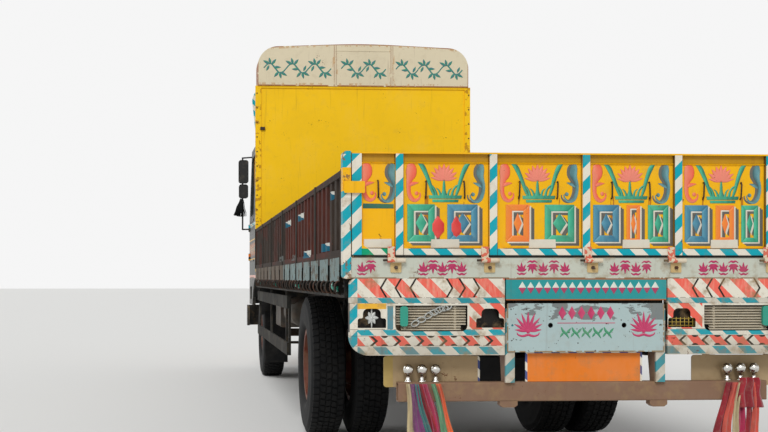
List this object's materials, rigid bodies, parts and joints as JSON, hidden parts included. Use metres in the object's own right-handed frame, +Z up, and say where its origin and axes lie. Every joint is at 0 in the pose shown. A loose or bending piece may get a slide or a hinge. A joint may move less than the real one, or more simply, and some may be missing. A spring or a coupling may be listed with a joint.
{
  "type": "decorated truck",
  "caption": "Two-axle flatbed haulage truck with a low drop-side style body, painted drop-down tailgate, tall headboard with arched header box, and a forward-control cab.",
  "frame": {"origin": "on the ground under the middle of the overall length, on the middle plane between the wheels", "axes": "+Y to the front of the truck, +X to its right side, +Z up"},
  "size_m": [2.883, 9.6, 3.8878],
  "materials": {
    "frame_paint": "dull, dusty",
    "axle_iron": "oily and dusty",
    "spring_steel": "dull",
    "shaft_paint": "dull",
    "engine_iron": "dull",
    "tank_paint": "satin, dusty",
    "box_paint": "satin, dusty",
    "exhaust_steel": "rusty",
    "spare_rubber": "matt, dusty",
    "underframe_paint": "worn satin",
    "deck_wood": "worn bare planks",
    "side_paint": "worn satin",
    "headboard_paint": "worn gloss",
    "header_paint": "faded, rusty edges",
    "beam_paint": "worn gloss",
    "tail_paint": "hand-painted gloss, worn",
    "board_paint": "hand-painted gloss",
    "louvre_metal": "brushed",
    "lamp_green": "clear gloss",
    "centre_paint": "hand-painted gloss",
    "plate_paint": "worn gloss",
    "orange_paint": "worn gloss",
    "bumper_paint": "worn",
    "ball_chrome": "polished",
    "streamer_cloth": "soft woven cloth",
    "guard_paint": "worn satin",
    "mudguard_paint": "dusty",
    "floor_paint": "worn",
    "cab_paint": "gloss",
    "roof_paint": "faded",
    "rack_paint": "worn",
    "crown_paint": "hand-painted gloss",
    "glass": "clear",
    "grille_metal": "satin",
    "lamp_chrome": "polished",
    "front_bumper_paint": "gloss",
    "dash_plastic": "grained",
    "wheel_plastic": "satin",
    "seat_leather": "worn",
    "mirror_black": "satin, dusty",
    "tassel_thread": "soft thread",
    "rod_paint": "dull",
    "rim_paint": "worn gloss",
    "tyre_rubber": "matt, dusty"
  },
  "bodies": {
    "chassis": {"chassis_frame": "frame_paint", "front_axle_beam": "axle_iron", "rear_axle_housing": "axle_iron", "leaf_springs": "spring_steel", "propeller_shaft": "shaft_paint", "engine_block": "engine_iron", "fuel_tank": "tank_paint", "chassis_boxes": "box_paint", "exhaust": "exhaust_steel", "spare_wheel": "spare_rubber", "underframe": "underframe_paint", "deck_floor": "deck_wood", "side_wall_left": "side_paint", "side_wall_right": "side_paint", "headboard": "headboard_paint", "header_box": "header_paint", "rear_frame": "beam_paint", "lamp_boards": "board_paint", "lamp_grilles": "louvre_metal", "marker_lamps": "lamp_green", "centre_board": "centre_paint", "centre_plate": "plate_paint", "rear_plates": "orange_paint", "rear_bumper": "bumper_paint", "bumper_balls": "ball_chrome", "streamers": "streamer_cloth", "side_guards": "guard_paint", "front_mudguards": "mudguard_paint", "cab_floor": "floor_paint", "cab_front": "cab_paint", "cab_back": "cab_paint", "cab_sides": "cab_paint", "cab_roof": "roof_paint", "roof_rack": "rack_paint", "crown_board": "crown_paint", "windscreen": "glass", "front_grille": "grille_metal", "front_lamps": "lamp_chrome", "front_bumper": "front_bumper_paint", "dashboard": "dash_plastic", "steering_wheel": "wheel_plastic", "seats": "seat_leather", "mirrors": "mirror_black", "mirror_tassels": "tassel_thread"},
    "door_left": {"door_left": "cab_paint"},
    "door_right": {"door_right": "cab_paint"},
    "tailgate": {"tailgate": "tail_paint"},
    "knuckle_left": {"knuckle_left": "axle_iron"},
    "knuckle_right": {"knuckle_right": "axle_iron"},
    "tie_rod": {"tie_rod": "rod_paint"},
    "wheel_front_left": {"front_rim_left": "rim_paint", "front_tyre_left": "tyre_rubber"},
    "wheel_front_right": {"front_rim_right": "rim_paint", "front_tyre_right": "tyre_rubber"},
    "wheel_rear_left": {"rear_rims_left": "rim_paint", "rear_tyres_left": "tyre_rubber"},
    "wheel_rear_right": {"rear_rims_right": "rim_paint", "rear_tyres_right": "tyre_rubber"}
  },
  "joints": [
    {"name": "steer_left", "type": "hinge", "parent": "chassis", "child": "knuckle_left", "pos_m": [-0.82, 3.36, 0.525], "axis": [0, 0, 1], "range_deg": [-35, 35]},
    {"name": "steer_right", "type": "hinge", "parent": "chassis", "child": "knuckle_right", "pos_m": [0.82, 3.36, 0.525], "axis": [0, 0, 1], "range_deg": [-35, 35]},
    {"name": "tie_rod_swing", "type": "hinge", "parent": "knuckle_left", "child": "tie_rod", "pos_m": [-0.82, 3.16, 0.425], "axis": [0, 0, 1], "range_deg": [-35, 35]},
    {"name": "wheel_front_left_spin", "type": "hinge", "parent": "knuckle_left", "child": "wheel_front_left", "pos_m": [-1, 3.36, 0.525], "axis": [1, 0, 0], "continuous": true},
    {"name": "wheel_front_right_spin", "type": "hinge", "parent": "knuckle_right", "child": "wheel_front_right", "pos_m": [1, 3.36, 0.525], "axis": [1, 0, 0], "continuous": true},
    {"name": "wheel_rear_left_spin", "type": "hinge", "parent": "chassis", "child": "wheel_rear_left", "pos_m": [-1.02, -1.84, 0.525], "axis": [1, 0, 0], "continuous": true},
    {"name": "wheel_rear_right_spin", "type": "hinge", "parent": "chassis", "child": "wheel_rear_right", "pos_m": [1.02, -1.84, 0.525], "axis": [1, 0, 0], "continuous": true},
    {"name": "door_left_hinge", "type": "hinge", "parent": "chassis", "child": "door_left", "pos_m": [-1.213, 4.438, 1.6], "axis": [0, 0, -1], "range_deg": [0, 70]},
    {"name": "door_right_hinge", "type": "hinge", "parent": "chassis", "child": "door_right", "pos_m": [1.213, 4.438, 1.6], "axis": [0, 0, 1], "range_deg": [0, 70]},
    {"name": "tailgate_hinge", "type": "hinge", "parent": "chassis", "child": "tailgate", "pos_m": [0, -4.788, 1.277], "axis": [1, 0, 0], "range_deg": [0, 175]}
  ],
  "couplings": [
    {"joint": "steer_right", "follows": "steer_left", "ratio": 1},
    {"joint": "tie_rod_swing", "follows": "steer_left", "ratio": -1}
  ]
}
